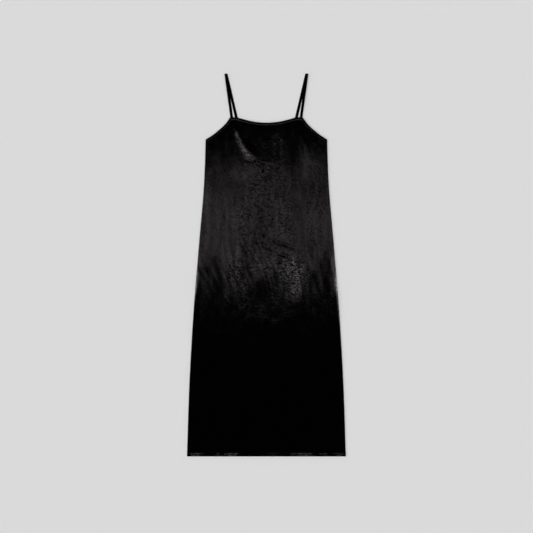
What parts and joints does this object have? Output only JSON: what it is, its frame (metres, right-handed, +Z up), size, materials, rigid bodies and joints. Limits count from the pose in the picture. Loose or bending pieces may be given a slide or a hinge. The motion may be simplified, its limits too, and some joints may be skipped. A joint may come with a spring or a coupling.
{
  "type": "slip dress",
  "caption": "Sleeveless midi slip dress in black satin, laid flat, with thin shoulder straps, a bound neck and armholes and a turned hem.",
  "frame": {"origin": "middle of the dress's outline, on the surface that it lies on", "axes": "+X to the right of a person looking down at the front, +Y from the hem to the straps, +Z up from the surface"},
  "size_m": [0.5398, 1.3008, 0.0051],
  "materials": {
    "satin": "black hammered satin with a soft sheen",
    "binding": "black satin cut on the bias",
    "strap": "black satin tube, pressed flat"
  },
  "bodies": {
    "root": {"back_panel": "satin", "front_panel": "satin", "neck_binding_front": "binding", "neck_binding_back": "binding", "armhole_binding_front_right": "binding", "armhole_binding_front_left": "binding", "armhole_binding_back_right": "binding", "armhole_binding_back_left": "binding", "strap_right": "strap", "strap_left": "strap"}
  },
  "joints": []
}
